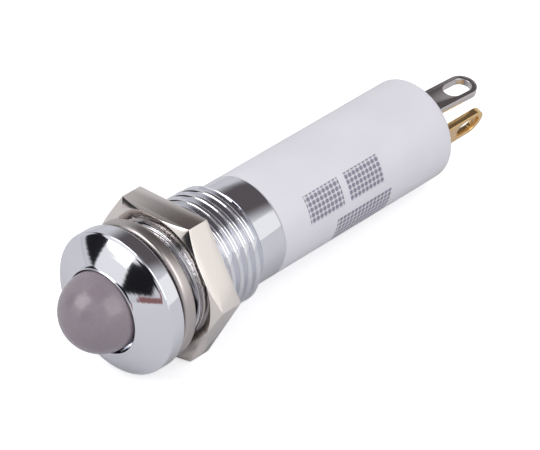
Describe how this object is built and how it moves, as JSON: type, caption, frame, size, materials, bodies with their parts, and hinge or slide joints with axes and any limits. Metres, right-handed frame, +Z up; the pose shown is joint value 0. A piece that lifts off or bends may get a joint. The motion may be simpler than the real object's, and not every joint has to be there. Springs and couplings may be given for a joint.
{
  "type": "panel pilot light",
  "caption": "Prominent round LED pilot light with a chromed bezel and threaded bush, lock washer, hex nut, white tubular body and solder lugs, for an 8 mm panel hole.",
  "frame": {"origin": "on the light's axis, at the back of the bezel flange, where the panel's front face sits", "axes": "+Y runs along the light's axis from the lamp to the solder lugs, +Z is up and square to an upper flat of the nut"},
  "size_m": [0.0114, 0.0374, 0.0098],
  "materials": {
    "chrome_plate": "mirror chrome plate on turned brass",
    "diffused_epoxy": "glossy moulded epoxy, tinted and diffused",
    "tinned_wire": "dull tin plate",
    "black_sleeve": "satin insulating sleeve",
    "red_sleeve": "satin insulating sleeve",
    "white_nylon": "satin moulded nylon, slightly translucent",
    "resistor_coat": "lacquered",
    "diode_case": "moulded",
    "solder": "bright solder",
    "potting_epoxy": "cast epoxy",
    "silver_plate": "satin silver plate",
    "gold_plate": "bright gold plate",
    "washer_nickel": "nickel plated spring wire",
    "nut_nickel": "nickel plated, faced and milled"
  },
  "bodies": {
    "light": {"bezel_bush": "chrome_plate", "lamp_lens": "diffused_epoxy", "cathode_lead": "tinned_wire", "anode_lead": "tinned_wire", "cathode_sleeve": "black_sleeve", "anode_sleeve": "red_sleeve", "body_tube": "white_nylon", "series_resistor": "resistor_coat", "resistor_front_wire": "tinned_wire", "resistor_rear_wire": "tinned_wire", "protection_diode": "diode_case", "diode_front_wire": "tinned_wire", "diode_rear_wire": "tinned_wire", "cathode_joint": "solder", "anode_joint": "solder", "negative_lug_joint": "solder", "positive_lug_joint": "solder", "potting": "potting_epoxy", "negative_lug": "silver_plate", "positive_lug": "gold_plate"},
    "washer": {"lock_washer": "washer_nickel"},
    "nut": {"hex_nut": "nut_nickel"}
  },
  "joints": [
    {"name": "washer_slide", "type": "slide", "parent": "light", "child": "washer", "axis": [0, 1, 0], "range_m": [0, 0.0042]},
    {"name": "nut_spin", "type": "hinge", "parent": "washer", "child": "nut", "pos_m": [0, 0, 0], "axis": [0, 1, 0], "range_deg": [0, 2020]}
  ],
  "couplings": [
    {"joint": "nut_spin", "follows": "washer_slide", "rad_per_m": 8377.6}
  ]
}
